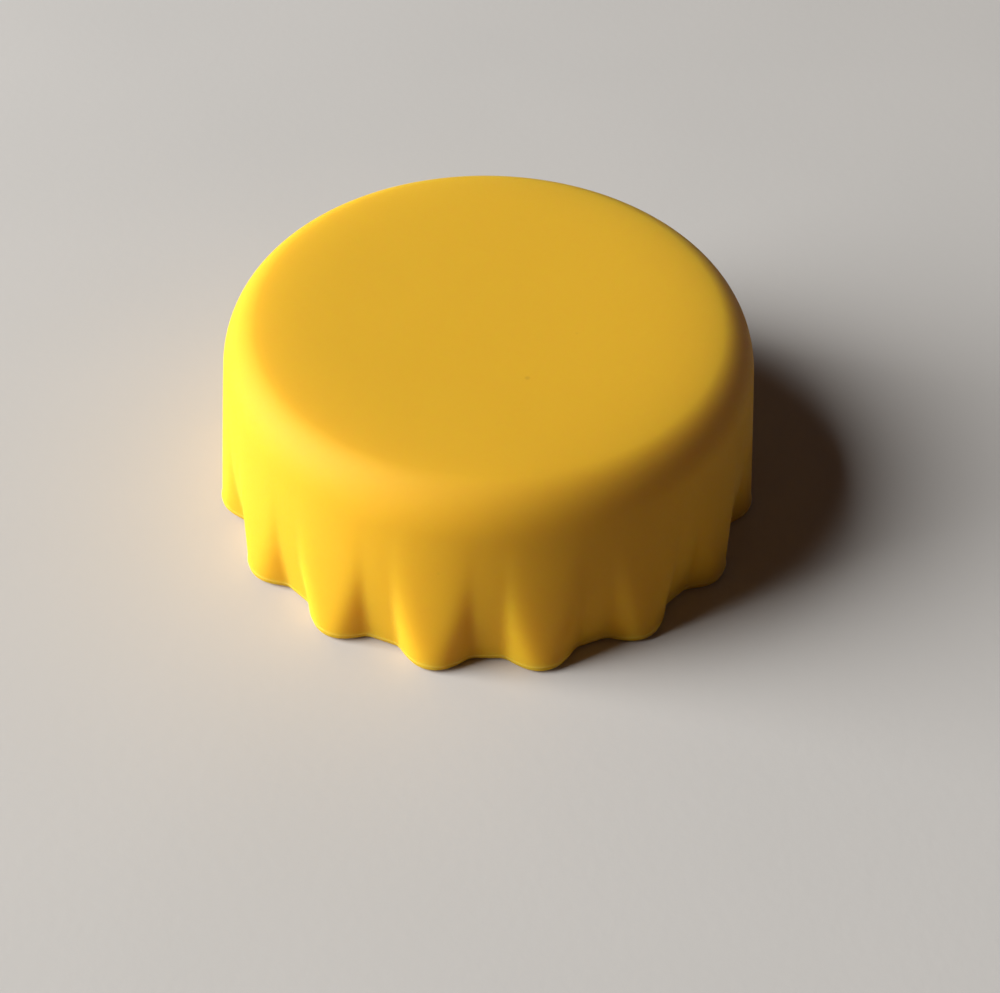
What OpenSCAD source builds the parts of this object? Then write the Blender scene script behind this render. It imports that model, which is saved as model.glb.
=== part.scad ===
// Reusable bottle cap, moulded in one piece from soft silicone.
// It stands on its rim, mouth down, with the origin at the centre of the rim plane and +Z up.
// The wall is a tapered cup with a rounded top edge. Grooves that deepen towards the rim leave
// a ring of flutes, and a lip inside the mouth snaps under the finish of the bottle.

/* [Overall] */
// Height from the rim to the flat top
cap_height = 12.4; // [11:0.1:18]
// Thickness of the top
top_thickness = 2.2; // [1.5:0.1:3]
// Radius of the rounded edge between the flat top and the wall
top_edge_radius = 2.9; // [1:0.1:3.5]
// Thickness of the wall at the rim, behind the floor of a groove
wall_thickness = 1.6; // [1.2:0.05:2.5]
// Lean of the outer wall from the vertical, wider towards the rim
wall_draft = 7; // [4:0.5:10]
// Radius of the small rounding at the foot of the flutes
foot_radius = 0.4; // [0.1:0.05:0.5]

/* [Flutes] */
// Number of flutes round the skirt
flute_count = 16; // [12:1:18]
// Height above the rim at which the grooves between the flutes run out into the plain wall
groove_height = 6.8; // [5:0.1:8]
// Depth of the grooves at the rim
groove_depth = 1.4; // [0.9:0.05:1.6]
// Width of the flat floor of a groove, between its rounded corners
groove_floor_width = 0.6; // [0.5:0.1:1.2]
// Radius of the rounded corners along the floor of a groove
groove_corner_radius = 1.6; // [0.5:0.1:2]
// Slope of a groove's sides, measured from its floor
groove_side_angle = 45; // [35:1:55]
// Radius at the rim of the rounded long edges of a flute, which runs out to nothing at their top
flute_edge_radius = 1.3; // [0.4:0.1:2]

/* [Cavity] */
// Diameter of the cavity, a little under the bottle's finish so that it stretches over it
cavity_dia = 26; // [25:0.1:26.4]
// Radius of the corner between the cavity's wall and its ceiling
cavity_corner_radius = 1; // [0.3:0.1:2]

/* [Retention lip] */
// Height by which the lip stands in from the cavity's wall
lip_depth = 0.7; // [0.4:0.05:1]
// Height of the lip's straight land
lip_land = 1.2; // [0.8:0.1:2]
// Width and height of the lead-in chamfer below the land
lip_lead_in = 0.5; // [0.2:0.1:0.8]
// Angle above the horizontal of the lip's upper slope
lip_slope = 45; // [30:5:60]

/* [Hidden] */
$fn = 128;

// Amount by which a cut runs past the face that it opens
cut_margin = 1;
// Amount by which a rounding crosses the faces that it joins, so that it meets them cleanly
blend_margin = 0.01;
// The same for the rounding along a flute's edge, whose outer face isn't flat
edge_margin = 0.03;
// Yellow silicone
silicone_yellow = [0.93, 0.73, 0.16];

cavity_r = cavity_dia / 2;
lip_r = cavity_r - lip_depth;
groove_floor_r = cavity_r + wall_thickness;
rim_r = groove_floor_r + groove_depth;
ceiling_z = cap_height - top_thickness;

function unit(v) = v / norm(v);

// Radius of the plain wall at the height z, set by the rounded foot that carries it
function wall_r(z) = rim_r - foot_radius + (foot_radius - blend_margin) / cos(wall_draft)
    - (z - foot_radius) * tan(wall_draft);

// Centres of the rounded foot and of the rounded top edge, and where the wall meets them
wall_slant = [cos(wall_draft), sin(wall_draft)];
foot_centre = [rim_r - foot_radius, foot_radius];
wall_foot = foot_centre + (foot_radius - blend_margin) * wall_slant;
shoulder_z = cap_height - top_edge_radius;
shoulder_reach = top_edge_radius - blend_margin;
shoulder_centre = [wall_r(shoulder_z) - shoulder_reach / cos(wall_draft), shoulder_z];
wall_top = shoulder_centre + shoulder_reach * wall_slant;

// One groove lies at +Y. Its floor leans outwards from the rim until it leaves the wall.
flute_pitch = 360 / flute_count;
groove_lean = atan((wall_r(groove_height) - groove_floor_r) / groove_height);

// Section of the groove, with its floor along X: half the floor, a rounded corner, then a side
// that ends just outside the wall
floor_corner = [groove_floor_width / 2, groove_corner_radius];
side_start = floor_corner + groove_corner_radius * [sin(groove_side_angle), -cos(groove_side_angle)];
side_width = (groove_depth - side_start[1]) / sin(groove_side_angle);
side_end = side_start + side_width * [cos(groove_side_angle), sin(groove_side_angle)];

// The section's way outwards, the groove's way upwards, and the way out of its side
section_out = [0, cos(groove_lean), -sin(groove_lean)];
groove_up = [0, sin(groove_lean), cos(groove_lean)];
side_normal = cos(groove_side_angle) * section_out - [sin(groove_side_angle), 0, 0];
side_foot = [side_start[0], groove_floor_r, 0] + side_start[1] * section_out;

// Angle from +Y at which the side meets the plain wall at the height z: the flute's edge
function edge_angle(z) =
    acos((side_normal * side_foot - side_normal[2] * z)
        / (wall_r(z) * norm([side_normal[0], side_normal[1]])))
    - atan2(-side_normal[0], side_normal[1]);
function edge_point(z) = [wall_r(z) * sin(edge_angle(z)), wall_r(z) * cos(edge_angle(z)), z];

// Height at which the side is used up and its foot comes out of the wall, the top of the edge:
// the foot's line, side_foot + t * groove_up, lies on the wall's cone where t solves a quadratic
wall_fall = cos(groove_lean) * tan(wall_draft);
foot_wall_r = wall_r(side_foot[2]);
run_a = pow(sin(groove_lean), 2) - pow(wall_fall, 2);
run_b = side_foot[1] * sin(groove_lean) + foot_wall_r * wall_fall;
run_c = pow(side_foot[0], 2) + pow(side_foot[1], 2) - pow(foot_wall_r, 2);
edge_top = side_foot - run_c / (run_b + sqrt(pow(run_b, 2) - run_a * run_c)) * groove_up;

// The edge's rounding is a cone with its tip at the edge's top, which touches the side and the
// wall. A second cone about the edge itself holds what comes off.
edge_run = norm(edge_top - edge_point(0));
edge_down = (edge_point(0) - edge_top) / edge_run;
edge_middle = edge_angle(edge_top[2] / 2);
wall_normal = [
    sin(edge_middle) * cos(wall_draft),
    cos(edge_middle) * cos(wall_draft),
    sin(wall_draft)
];
edge_outward = unit(cross(edge_down, cross(side_normal + wall_normal, edge_down)));
half_turn = acos(side_normal * edge_outward);

// The rounding stays on the groove's side and on its own half of the flute's outer face
face_width = rim_r * (flute_pitch / 2 - edge_angle(0)) * PI / 180;
rounding_radius = min(flute_edge_radius, 0.8 * min(side_width, face_width) / tan(half_turn));
rounding_lean = atan(rounding_radius / cos(half_turn) / edge_run);
rounding_spread = asin(sin(rounding_lean) * cos(half_turn));
waste_spread = acos(cos(rounding_lean) / cos(rounding_spread));

// The cup's outer outline, from the axis out
module wall_profile() {
    polygon([
        [0, 0],
        [foot_centre[0], 0],
        wall_foot,
        wall_top,
        [shoulder_centre[0], cap_height],
        [0, cap_height]
    ]);
    translate(foot_centre) circle(r = foot_radius);
    translate(shoulder_centre) circle(r = top_edge_radius);
}

// Half of a groove's opening, from its centre line to one side
module half_groove_section() {
    polygon([
        [0, 0],
        [floor_corner[0], 0],
        side_start,
        side_end,
        [side_end[0], groove_depth + cut_margin],
        [0, groove_depth + cut_margin]
    ]);
    translate(floor_corner) circle(r = groove_corner_radius + blend_margin);
}

// One groove in the wall, leaning outwards as it rises
module groove() {
    translate([0, groove_floor_r, 0])
        rotate([-groove_lean, 0, 0])
            translate([0, 0, -cut_margin])
                linear_extrude(groove_height + 2 * cut_margin) {
                    half_groove_section();
                    mirror([1, 0, 0]) half_groove_section();
                }
}

// Cone with its tip at the top of a flute's edge, at an angle to the edge on the flute's side
module edge_cone(lean, spread) {
    axis = cos(lean) * edge_down - sin(lean) * edge_outward;
    inward = -cos(lean) * edge_outward - sin(lean) * edge_down;
    across = cross(axis, inward);
    tip = edge_top + edge_margin * edge_outward;
    reach = edge_run + cut_margin;
    multmatrix([
        [inward[0], across[0], axis[0], tip[0]],
        [inward[1], across[1], axis[1], tip[1]],
        [inward[2], across[2], axis[2], tip[2]],
        [0, 0, 0, 1]
    ])
        cylinder(h = reach, r1 = 0, r2 = reach * tan(spread));
}

// What comes off one long edge of a flute to round it
module edge_rounding() {
    difference() {
        edge_cone(0, waste_spread);
        edge_cone(rounding_lean, rounding_spread);
    }
}

// The ring of grooves, with a flute centred on +X
module grooves() {
    for (i = [0 : flute_count - 1])
        rotate([0, 0, (i + 0.5) * flute_pitch - 90]) {
            groove();
            edge_rounding();
            mirror([1, 0, 0]) edge_rounding();
        }
}

// Outline of the hollow: lead-in, land, upper slope, cavity and rounded ceiling corner
module cavity_profile() {
    land_top = lip_lead_in + lip_land;
    slope_top = land_top + lip_depth * tan(lip_slope);
    corner_centre = [cavity_r, ceiling_z] - cavity_corner_radius * [1, 1];
    polygon([
        [0, -cut_margin],
        [lip_r + lip_lead_in, -cut_margin],
        [lip_r + lip_lead_in, 0],
        [lip_r, lip_lead_in],
        [lip_r, land_top],
        [cavity_r, slope_top],
        [cavity_r, corner_centre[1]],
        [corner_centre[0], ceiling_z],
        [0, ceiling_z]
    ]);
    translate(corner_centre) circle(r = cavity_corner_radius);
}

module cap() {
    color(silicone_yellow)
        difference() {
            rotate_extrude() wall_profile();
            grooves();
            rotate_extrude() cavity_profile();
        }
}

cap();
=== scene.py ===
import math

import bpy
import numpy as np
from mathutils import Matrix, Vector


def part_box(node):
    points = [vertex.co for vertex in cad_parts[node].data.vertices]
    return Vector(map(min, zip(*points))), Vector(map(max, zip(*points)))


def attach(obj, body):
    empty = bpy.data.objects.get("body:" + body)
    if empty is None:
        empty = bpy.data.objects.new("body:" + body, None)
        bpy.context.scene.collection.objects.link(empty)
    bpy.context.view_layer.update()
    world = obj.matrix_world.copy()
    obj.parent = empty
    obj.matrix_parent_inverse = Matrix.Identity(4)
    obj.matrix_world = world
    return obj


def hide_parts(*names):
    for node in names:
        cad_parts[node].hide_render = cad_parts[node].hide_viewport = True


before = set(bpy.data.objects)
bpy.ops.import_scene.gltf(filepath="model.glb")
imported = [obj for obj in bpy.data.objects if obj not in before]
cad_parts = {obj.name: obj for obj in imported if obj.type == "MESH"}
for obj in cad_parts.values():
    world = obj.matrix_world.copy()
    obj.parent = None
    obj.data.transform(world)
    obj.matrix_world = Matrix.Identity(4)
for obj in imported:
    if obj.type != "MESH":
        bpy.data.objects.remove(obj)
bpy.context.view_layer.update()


# The cap
# One piece of soft yellow silicone, pressed in a two-part mould. A tapered cup with a flat top
# and a rounded edge; towards the rim the wall breaks into flutes, and a lip stands in the mouth.

# Sizes in millimetres. The height and the width over the flutes are the solid's own.
MM = 0.001
cap_low, cap_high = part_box("cap")
cap_height = (cap_high.z - cap_low.z) / MM
rim_radius = (cap_high.x - cap_low.x) / 2 / MM
wall_draft = math.radians(7)

# The top bulges a little, and its edge follows an ellipse down to the wall
crown_drop = 0.22
crown_angle = math.radians(8)
top_edge_width = 2.3
top_edge_height = 3.1

# The grooves between the flutes, and how softly they meet the wall at the rim and at their top
flute_count = 16
flute_pitch = 2 * np.pi / flute_count
groove_height = 4.7
groove_depth = 1.22
groove_floor_width = 1.3
groove_corner_radius = 0.75
groove_side_angle = math.radians(39)
rim_softness = 0.47
top_softness = 0.36

# The rounded foot, and the bead that the joint of the mould leaves over it
foot_radius = 0.4
parting_line_height = 0.56
parting_line_proud = 0.05
parting_line_width = 0.07

# The hollow
cavity_radius = 13.0
cavity_corner_radius = 1.0
top_thickness = 2.2
lip_radius = 12.3
lip_land = 1.2
lip_lead_in = 0.5
lip_edge_radius = 0.2
lip_slope_radius = 0.25
mouth_edge_radius = 0.12

# Rows and columns of the mesh
columns = flute_count * 44
top_rows = 12
top_edge_rows = 24
wall_rows = 45
parting_line_rows = 9
foot_rows = 8
rim_rows = 3
arc_rows = 7
angles = np.linspace(0, 2 * np.pi, columns, endpoint=False)


def plain_wall_radius(z):
    """Radius of the wall before it is fluted: the rim's radius less the height over the foot times
    the tangent of the draft."""
    return rim_radius - (z - foot_radius) * math.tan(wall_draft)


def groove_rise(x):
    """Height of a groove's section over its floor at the distance x from the middle: zero over the
    flat, then a circular corner, then a straight side at the side angle."""
    out = np.maximum(np.abs(x) - groove_floor_width / 2, 0)
    corner_end = groove_corner_radius * math.sin(groove_side_angle)
    on_corner = np.minimum(out, corner_end)
    corner = groove_corner_radius - np.sqrt(groove_corner_radius**2 - on_corner**2)
    return corner + np.maximum(out - corner_end, 0) * math.tan(groove_side_angle)


def groove_radius(off_middle, z, rounds=8):
    """Radius of a groove at an angle off its middle and a height. Its floor leans straight from its
    depth at the rim to the wall at its top, and r cos a = floor + rise(r sin a) is solved by
    putting each answer back in."""
    floor = plain_wall_radius(z) - groove_depth * (1 - z / groove_height)
    radius = floor / np.cos(off_middle)
    for _ in range(rounds):
        radius = (floor + groove_rise(radius * np.sin(off_middle))) / np.cos(off_middle)
    return radius


def flute_cut(off_middle, z):
    """Depth of the wall's surface under the plain wall, between two grooves: a soft maximum of zero
    and of each groove's depth d, softness x log(1 + sum of exp(d / softness)). The softness goes
    from the top's to the rim's with the square of the way down the groove."""
    wall = plain_wall_radius(z)
    near = wall - groove_radius(off_middle, z)
    far = wall - groove_radius(flute_pitch - off_middle, z)
    down = np.clip(1 - z / groove_height, 0, 1)
    softness = top_softness + (rim_softness - top_softness) * down**2
    return softness * np.log(1 + np.exp(near / softness) + np.exp(far / softness))


def skirt_radius(angle, z):
    """Radius of the fluted wall, moved out so that the crest of each flute lies on the plain wall,
    with the parting line round it as a bead, proud x exp(-((z - height) / width)^2)."""
    off_middle = np.abs((angle / flute_pitch) % 1.0 - 0.5) * flute_pitch
    cut = flute_cut(off_middle, z) - flute_cut(flute_pitch / 2, z)
    bead = parting_line_proud * np.exp(-(((z - parting_line_height) / parting_line_width) ** 2))
    return plain_wall_radius(z) - cut + bead


def round_rows():
    """Radius and height of the top and of its edge, which are round. The top drops from the crown's
    height by drop x (r / crown_r)^power, where the power gives it the crown's angle at crown_r.
    There an ellipse takes over, r = a cos t and z = b sin t, that turns down to the slope of the
    wall. It has the crown's slope where tan t = b / a / tan(crown angle), and the wall's where
    tan t = b / a x tan(draft)."""
    tall = top_edge_height / top_edge_width
    first_turn = math.atan(tall / math.tan(crown_angle))
    last_turn = math.atan(tall * math.tan(wall_draft))
    turn = np.linspace(first_turn, last_turn, top_edge_rows)
    edge_z = cap_height - crown_drop - top_edge_height * (math.sin(first_turn) - np.sin(turn))
    edge_r = plain_wall_radius(edge_z[-1]) - top_edge_width * (math.cos(last_turn) - np.cos(turn))

    # The top's rows draw closer together towards its edge
    crown_r = edge_r[0]
    power = crown_r * math.tan(crown_angle) / crown_drop
    top_r = crown_r * np.linspace(0, 1, top_rows + 2)[1:-1] ** 0.6
    top_z = cap_height - crown_drop * (top_r / crown_r) ** power
    return np.concatenate([top_r, edge_r]), np.concatenate([top_z, edge_z])


def outer_skin():
    """Radius and height of the outside, row by row from the centre of the top to the rim: the round
    rows, the fluted wall, and the foot. The foot's rows are the wall's outline moved in along its
    own normal by foot radius x (1 - cos t), which is that much times sqrt(1 + (r' / r)^2) along
    the radius, at the height foot radius x (1 - sin t)."""
    round_r, round_z = round_rows()
    line_top = parting_line_height + 3 * parting_line_width
    wall_z = np.concatenate([
        np.linspace(round_z[-1], line_top, wall_rows + 1)[1:],
        np.linspace(line_top, foot_radius, parting_line_rows + 1)[1:],
    ])
    turn = np.linspace(0, np.pi / 2, foot_rows + 1)[1:]
    foot_z = foot_radius * (1 - np.sin(turn))
    foot_in = foot_radius * (1 - np.cos(turn))

    wall = skirt_radius(angles[None, :], wall_z[:, None])
    foot = skirt_radius(angles[None, :], foot_z[:, None])
    slope = np.gradient(foot, angles, axis=1) / foot
    foot = foot - foot_in[:, None] * np.sqrt(1 + slope**2)
    radius = np.vstack([np.repeat(round_r[:, None], columns, 1), wall, foot])
    height = np.repeat(np.concatenate([round_z, wall_z, foot_z])[:, None], columns, 1)
    return radius, height


def rounded_path(points, radii):
    """A broken line whose inner corners are arcs. Each arc swings half the turn to each side about
    a centre between the two legs, at the distance radius / cos(half the turn) from the corner."""
    points = np.array(points, float)
    path = [points[:1]]
    for before, corner, after, radius in zip(points, points[1:], points[2:], radii):
        come = (corner - before) / np.linalg.norm(corner - before)
        go = (after - corner) / np.linalg.norm(after - corner)
        half = math.acos(np.clip(come @ go, -1, 1)) / 2
        inward = (go - come) / np.linalg.norm(go - come)
        along = (come + go) / np.linalg.norm(come + go)
        centre = corner + inward * radius / math.cos(half)
        swing = np.linspace(-half, half, arc_rows)[:, None]
        path.append(centre - radius * (np.cos(swing) * inward - np.sin(swing) * along))
    path.append(points[-1:])
    return np.vstack(path)


def hollow_skin(rim_outline):
    """Radius and height of the rim's underside and of the hollow. The underside's rows go straight
    from the outline of the rim to a circle round the mouth. The hollow is a path from that circle
    over the lip and up to the ceiling, near its centre."""
    ceiling = cap_height - top_thickness
    mouth_r = lip_radius + lip_lead_in
    land_top = lip_lead_in + lip_land
    slope_top = land_top + cavity_radius - lip_radius
    hollow = rounded_path(
        [
            (mouth_r + 0.5, 0),
            (mouth_r, 0),
            (lip_radius, lip_lead_in),
            (lip_radius, land_top),
            (cavity_radius, slope_top),
            (cavity_radius, ceiling),
            (1, ceiling),
        ],
        [
            mouth_edge_radius,
            lip_edge_radius,
            lip_edge_radius,
            lip_slope_radius,
            cavity_corner_radius,
        ],
    )
    across = np.linspace(0, 1, rim_rows + 2)[1:-1, None]
    rim_r = rim_outline * (1 - across) + hollow[0, 0] * across
    radius = np.vstack([rim_r, np.repeat(hollow[:, :1], columns, 1)])
    height = np.vstack([np.zeros_like(rim_r), np.repeat(hollow[:, 1:], columns, 1)])
    return radius, height


def turned_mesh(name, radius, height, start_z, end_z):
    """Closed mesh from rows of radius and height round the axis, x = r cos a and y = r sin a, with
    a point on the axis at each end."""
    rows = len(radius)
    ring = np.stack([radius * np.cos(angles), radius * np.sin(angles), height], -1).reshape(-1, 3)
    points = np.vstack([[[0, 0, start_z]], ring, [[0, 0, end_z]]]) * MM
    at = 1 + np.arange(rows * columns).reshape(rows, columns)
    beside = np.roll(at, -1, axis=1)
    quads = np.stack([at[:-1], at[1:], beside[1:], beside[:-1]], -1).reshape(-1, 4)
    first = np.stack([np.zeros(columns, int), at[0], beside[0]], -1)
    last = np.stack([np.full(columns, len(points) - 1), beside[-1], at[-1]], -1)
    mesh = bpy.data.meshes.new(name)
    mesh.from_pydata(points.tolist(), [], quads.tolist() + first.tolist() + last.tolist())
    mesh.polygons.foreach_set("use_smooth", np.ones(len(mesh.polygons), bool))
    mesh.update()
    piece = bpy.data.objects.new(name, mesh)
    bpy.context.scene.collection.objects.link(piece)
    return piece


outer_r, outer_z = outer_skin()
hollow_r, hollow_z = hollow_skin(outer_r[-1])
cap = turned_mesh(
    "moulded_cap",
    np.vstack([outer_r, hollow_r]),
    np.vstack([outer_z, hollow_z]),
    cap_height,
    cap_height - top_thickness,
)


def ranged(tree, value, start, end, at_start, at_end, smooth=True):
    """Number socket that goes from at_start to at_end as the value goes from start to end, and
    stays there outside them. End is a number or a socket."""
    node = tree.nodes.new("ShaderNodeMapRange")
    node.interpolation_type = "SMOOTHSTEP" if smooth else "LINEAR"
    tree.links.new(value, node.inputs["Value"])
    node.inputs["From Min"].default_value = start
    if isinstance(end, float):
        node.inputs["From Max"].default_value = end
    else:
        tree.links.new(end, node.inputs["From Max"])
    node.inputs["To Min"].default_value = at_start
    node.inputs["To Max"].default_value = at_end
    return node.outputs["Result"]


def joined(tree, operation, first, second):
    """Number socket of two numbers under one Math operation. Second is a number or a socket."""
    node = tree.nodes.new("ShaderNodeMath")
    node.operation = operation
    tree.links.new(first, node.inputs[0])
    if isinstance(second, float):
        node.inputs[1].default_value = second
    else:
        tree.links.new(second, node.inputs[1])
    return node.outputs["Value"]


def mixed(tree, share, first, second):
    """Colour socket of first x (1 - share) + second x share. Each is a colour or a socket. A Mix
    node has a set of sockets for each kind of data: inputs 6 and 7 and output 2 are colours."""
    node = tree.nodes.new("ShaderNodeMix")
    node.data_type = "RGBA"
    tree.links.new(share, node.inputs["Factor"])
    for socket, colour in ((node.inputs[6], first), (node.inputs[7], second)):
        if isinstance(colour, tuple):
            socket.default_value = colour
        else:
            tree.links.new(colour, socket)
    return node.outputs[2]


def grain_and_cloud_group():
    """Node group for a cast or pressed surface. Grain is a fine noise and Cloud a broad one, from 0
    to 1, each with its own scale per metre. Speck falls from 1 at the point of a Voronoi cell to 0
    at Speck Size from it, in the share of the cells that Speck Share gives."""
    group = bpy.data.node_groups.new("grain_and_cloud", "ShaderNodeTree")
    group.interface.new_socket("Vector", in_out="INPUT", socket_type="NodeSocketVector")
    for name in ("Grain Scale", "Cloud Scale", "Speck Scale", "Speck Size", "Speck Share"):
        group.interface.new_socket(name, in_out="INPUT", socket_type="NodeSocketFloat")
    for name in ("Grain", "Cloud", "Speck"):
        group.interface.new_socket(name, in_out="OUTPUT", socket_type="NodeSocketFloat")
    given = group.nodes.new("NodeGroupInput")
    result = group.nodes.new("NodeGroupOutput")
    for name, detail in (("Grain", 3), ("Cloud", 2)):
        noise = group.nodes.new("ShaderNodeTexNoise")
        noise.inputs["Detail"].default_value = detail
        group.links.new(given.outputs["Vector"], noise.inputs["Vector"])
        group.links.new(given.outputs[name + " Scale"], noise.inputs["Scale"])
        group.links.new(noise.outputs["Fac"], result.inputs[name])
    cells = group.nodes.new("ShaderNodeTexVoronoi")
    group.links.new(given.outputs["Vector"], cells.inputs["Vector"])
    group.links.new(given.outputs["Speck Scale"], cells.inputs["Scale"])
    spot = ranged(group, cells.outputs["Distance"], 0, given.outputs["Speck Size"], 1, 0)
    lot = group.nodes.new("ShaderNodeSeparateColor")
    group.links.new(cells.outputs["Color"], lot.inputs["Color"])
    chosen = joined(group, "LESS_THAN", lot.outputs["Red"], given.outputs["Speck Share"])
    group.links.new(joined(group, "MULTIPLY", spot, chosen), result.inputs["Speck"])
    return group


def placed(tree, group, place, values):
    """Node that places a group in a material at a vector socket, with its own input values."""
    node = tree.nodes.new("ShaderNodeGroup")
    node.node_tree = group
    tree.links.new(place, node.inputs["Vector"])
    for name, value in values.items():
        node.inputs[name].default_value = value
    return node


def bumped(tree, height, strength, depth, shader):
    """Bump of a shader's normal by a height from 0 to 1, over a depth in metres."""
    bump = tree.nodes.new("ShaderNodeBump")
    bump.inputs["Strength"].default_value = strength
    bump.inputs["Distance"].default_value = depth
    tree.links.new(height, bump.inputs["Height"])
    tree.links.new(bump.outputs["Normal"], shader.inputs["Normal"])


# Silicone lets light in a few millimetres deep, red the furthest, and hardly shines
silicone = bpy.data.materials.new("yellow_silicone")
silicone.use_nodes = True
tree = silicone.node_tree
shader = tree.nodes["Principled BSDF"]
shader.inputs["IOR"].default_value = 1.41
shader.inputs["Specular IOR Level"].default_value = 0.3
shader.inputs["Subsurface Weight"].default_value = 1
shader.inputs["Subsurface Radius"].default_value = (1, 0.8, 0.25)
shader.inputs["Subsurface Scale"].default_value = 2.5 * MM
grain_and_cloud = grain_and_cloud_group()
in_cap = tree.nodes.new("ShaderNodeTexCoord").outputs["Object"]
cast = placed(tree, grain_and_cloud, in_cap, {
    "Grain Scale": 6500,
    "Cloud Scale": 130,
    "Speck Scale": 420,
    "Speck Size": 0.06,
    "Speck Share": 0.25,
})

# The pigment isn't mixed in quite evenly, so its colour drifts a little
deep_pigment = (0.685, 0.390, 0.012, 1)
pale_pigment = (0.715, 0.414, 0.014, 1)
pigment = mixed(tree, cast.outputs["Cloud"], deep_pigment, pale_pigment)

# A paler colour along the bead of the parting line is a painted highlight, where the bead catches
# the light
painted_bead_highlight = (0.80, 0.52, 0.06, 1)
bead_highlight_share = 0.6
bead_reach = 1.6 * parting_line_width * MM
axes_of = tree.nodes.new("ShaderNodeSeparateXYZ")
tree.links.new(in_cap, axes_of.inputs["Vector"])
above_line = joined(tree, "SUBTRACT", axes_of.outputs["Z"], parting_line_height * MM)
off_line = joined(tree, "ABSOLUTE", above_line, 0.0)
bead_highlight_mask = ranged(tree, off_line, 0, bead_reach, bead_highlight_share, 0)
# the painted highlight on the bead fades out to either side of the parting line
with_bead_highlight = mixed(tree, bead_highlight_mask, pigment, painted_bead_highlight)

# Specks of dust cling to it, with the darkest one in front of the middle of the top
dust_colour = (0.05, 0.03, 0.015, 1)
dust_share = 0.08
dark_speck = (3.06 * MM, -5.34 * MM, 12.35 * MM)
dark_speck_inside = 0.05 * MM
dark_speck_outside = 0.22 * MM
dark_speck_share = 0.16
from_speck = tree.nodes.new("ShaderNodeVectorMath")
from_speck.operation = "DISTANCE"
from_speck.inputs[1].default_value = dark_speck
tree.links.new(in_cap, from_speck.inputs[0])
away = from_speck.outputs["Value"]
on_speck = ranged(tree, away, dark_speck_inside, dark_speck_outside, dark_speck_share, 0)
on_dust = ranged(tree, cast.outputs["Speck"], 0, 1.0, 0, dust_share, smooth=False)
dust = joined(tree, "MAXIMUM", on_speck, on_dust)
dusty = mixed(tree, dust, with_bead_highlight, dust_colour)
tree.links.new(dusty, shader.inputs["Base Color"])

# The mould is blasted matte, and the silicone takes its grain
matte = ranged(tree, cast.outputs["Grain"], 0.3, 0.7, 0.60, 0.70, smooth=False)
tree.links.new(matte, shader.inputs["Roughness"])
bumped(tree, cast.outputs["Grain"], 0.15, 0.01 * MM, shader)
cap.data.materials.append(silicone)
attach(cap, "root")
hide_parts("cap")


# The floor
# A disc of plain white paper, wider than the camera sees. Pressed from pulp, it has a faint tooth
# and a slow drift in tint. What it throws back on the cap is warmer than what the camera sees.

paper_radius = 0.4
bpy.ops.mesh.primitive_circle_add(vertices=128, radius=paper_radius, fill_type="NGON")
floor = bpy.context.object
floor.name = "paper"
paper = bpy.data.materials.new("white_paper")
paper.use_nodes = True
tree = paper.node_tree
sheet = tree.nodes["Principled BSDF"]
sheet.inputs["Roughness"].default_value = 0.9
in_sheet = tree.nodes.new("ShaderNodeTexCoord").outputs["Object"]
pressed = placed(tree, grain_and_cloud, in_sheet, {
    "Grain Scale": 1400,
    "Cloud Scale": 45,
    "Speck Scale": 200,
    "Speck Size": 0.04,
    "Speck Share": 0.1,
})
dull_tint = (0.500, 0.487, 0.463, 1)
pale_tint = (0.540, 0.523, 0.497, 1)
bounce_colour = (0.44, 0.34, 0.28, 1)
tint = mixed(tree, pressed.outputs["Cloud"], dull_tint, pale_tint)
camera_ray = tree.nodes.new("ShaderNodeLightPath").outputs["Is Camera Ray"]
seen_or_bounce = mixed(tree, camera_ray, bounce_colour, tint)
tree.links.new(seen_or_bounce, sheet.inputs["Base Color"])
bumped(tree, pressed.outputs["Grain"], 0.3, 0.02 * MM, sheet)
floor.data.materials.append(paper)


# The light
# A wide soft window stands upright to the left of the camera's view. The room is dim and warm,
# and looks pale only where the camera, a reflection or glass sees it.

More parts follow.
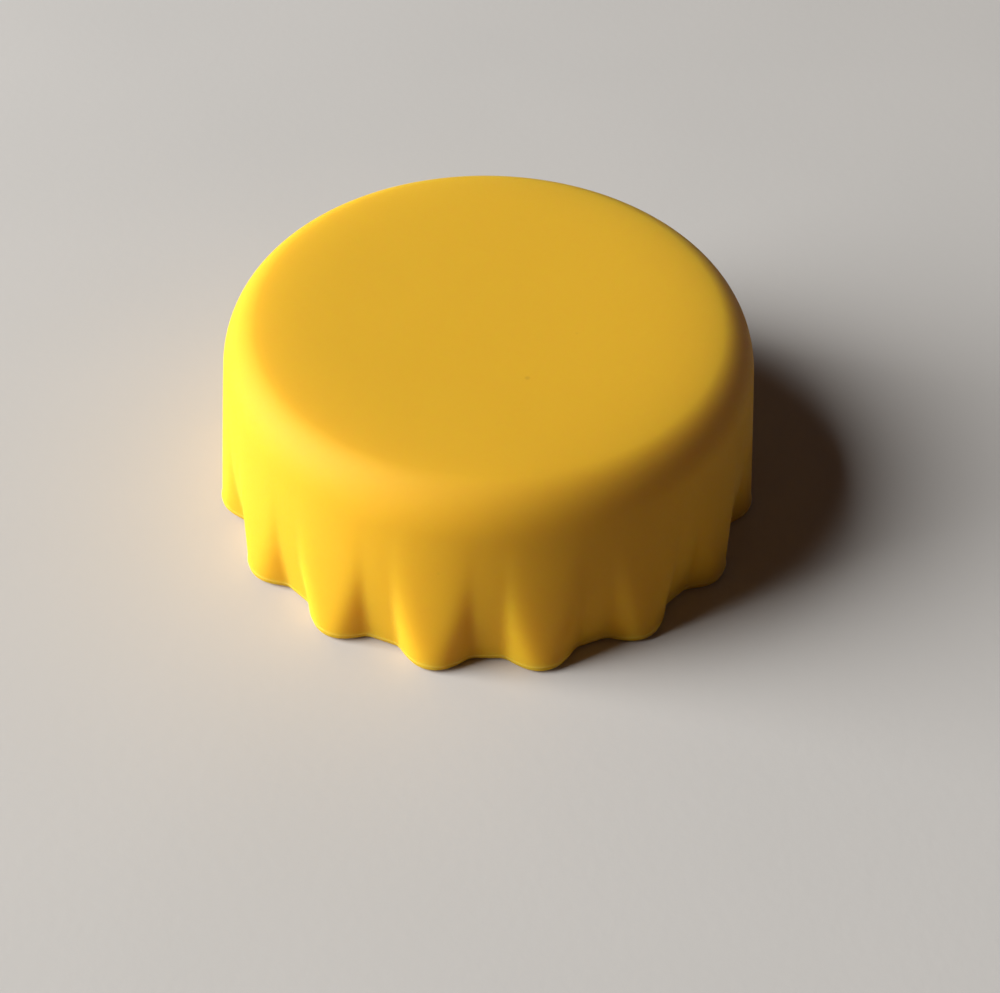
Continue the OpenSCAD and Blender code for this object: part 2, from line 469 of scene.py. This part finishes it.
view_azimuth = math.radians(9.95)
window_distance = 0.65
window_forward = 0.09
window_sill = 0.013
window_width = 0.5
window_height = 1.0
lamp = bpy.data.lights.new("window", "AREA")
lamp.shape = "RECTANGLE"
lamp.size = window_width
lamp.size_y = window_height
lamp.energy = 19.6
window = bpy.data.objects.new("window", lamp)
bpy.context.scene.collection.objects.link(window)
window_middle = Vector((-window_distance, -window_forward, window_height / 2 + window_sill))
window.location = Matrix.Rotation(view_azimuth, 3, "Z") @ window_middle
window.rotation_euler = (math.pi / 2, 0, view_azimuth - math.pi / 2)

world = bpy.data.worlds.new("room")
bpy.context.scene.world = world
world.use_nodes = True
room = world.node_tree
room_light = room.nodes["Background"]
room_light.inputs["Color"].default_value = (1, 0.4, 0.2, 1)
room_light.inputs["Strength"].default_value = 0.025
room_seen = room.nodes.new("ShaderNodeBackground")
room_seen.inputs["Color"].default_value = (0.5, 0.485, 0.46, 1)
ray = room.nodes.new("ShaderNodeLightPath").outputs
direct = joined(room, "MAXIMUM", ray["Is Camera Ray"], ray["Is Glossy Ray"])
seen = joined(room, "MAXIMUM", direct, ray["Is Transmission Ray"])
by_ray = room.nodes.new("ShaderNodeMixShader")
room.links.new(seen, by_ray.inputs["Fac"])
room.links.new(room_light.outputs["Background"], by_ray.inputs[1])
room.links.new(room_seen.outputs["Background"], by_ray.inputs[2])
room.links.new(by_ray.outputs["Shader"], room.nodes["World Output"].inputs["Surface"])


# Camera
# It looks down on the front of the cap from a hand's width away, tilted a little to one side. It is
# placed facing +Y, then turned with the window about the cap's axis.

view_elevation = math.radians(45.72)
view_distance = 0.09155
view_right = 0.00081
view_up = -0.001736
view_roll = 0.0247
right = Vector((1, 0, 0))
back = Vector((0, -math.cos(view_elevation), math.sin(view_elevation)))
up = back.cross(right)
camera_place = back * view_distance + right * view_right + up * view_up
rolled_right = right * math.cos(view_roll) + up * math.sin(view_roll)
rolled_up = up * math.cos(view_roll) - right * math.sin(view_roll)
facing = Matrix((rolled_right, rolled_up, back)).transposed().to_4x4()
camera = bpy.data.objects.new("camera", bpy.data.cameras.new("camera"))
bpy.context.scene.collection.objects.link(camera)
camera.data.lens = 54
camera.data.clip_start = MM
camera.matrix_world = (
    Matrix.Rotation(view_azimuth, 4, "Z") @ Matrix.Translation(camera_place) @ facing
)
bpy.context.scene.camera = camera
bpy.context.scene.view_settings.view_transform = "Standard"
